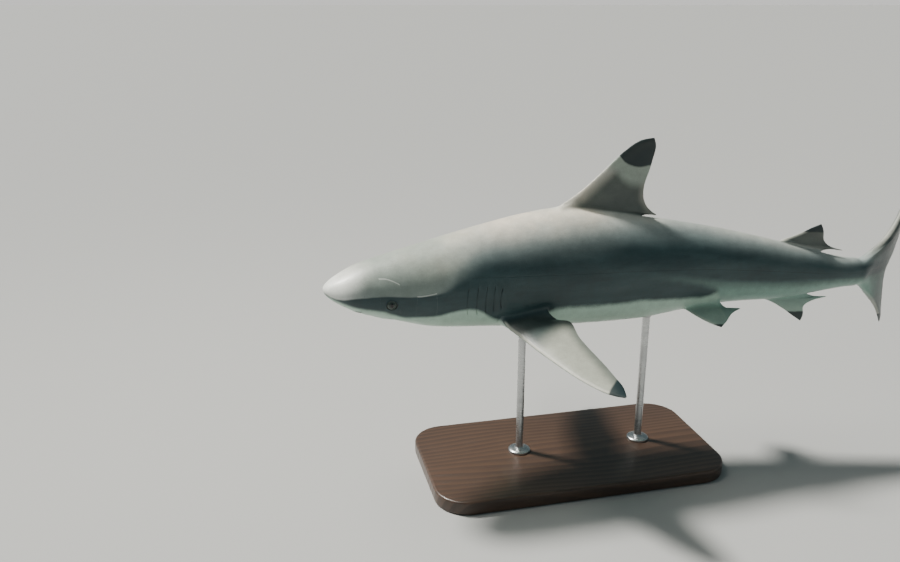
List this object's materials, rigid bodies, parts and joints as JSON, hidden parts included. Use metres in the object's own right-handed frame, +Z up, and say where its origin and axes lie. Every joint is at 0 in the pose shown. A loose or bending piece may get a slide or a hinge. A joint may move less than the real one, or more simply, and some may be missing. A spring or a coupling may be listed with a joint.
{
  "type": "blacktip reef shark display model",
  "caption": "Life-size still model of a swimming blacktip reef shark, held over a flat base by two upright rods.",
  "frame": {"origin": "centre of the underside of the stand's base, which rests on the floor", "axes": "+Z up, snout towards -X, tail towards +X, the animal's left side towards -Y"},
  "size_m": [1.2619, 0.5757, 0.618],
  "materials": {
    "skin": "fine-grained satin skin, grey-brown back, pale flank band and belly, black fin tips",
    "eye": "glossy, pale olive iris with a dark upright slit pupil",
    "stand_wood": "dark stained hardwood, satin varnish",
    "stand_steel": "fine brushed along the rod"
  },
  "bodies": {
    "root": {"head": "skin", "lower_jaw": "skin", "eye_left": "eye", "eye_right": "eye", "trunk_front": "skin", "trunk_rear": "skin", "tail_stalk": "skin", "first_dorsal_fin": "skin", "second_dorsal_fin": "skin", "anal_fin": "skin", "pectoral_fin_left": "skin", "pectoral_fin_right": "skin", "pelvic_fin_left": "skin", "pelvic_fin_right": "skin", "caudal_fin_upper_lobe": "skin", "caudal_fin_lower_lobe": "skin", "stand_base": "stand_wood", "stand_rod_front": "stand_steel", "stand_rod_rear": "stand_steel"}
  },
  "joints": []
}
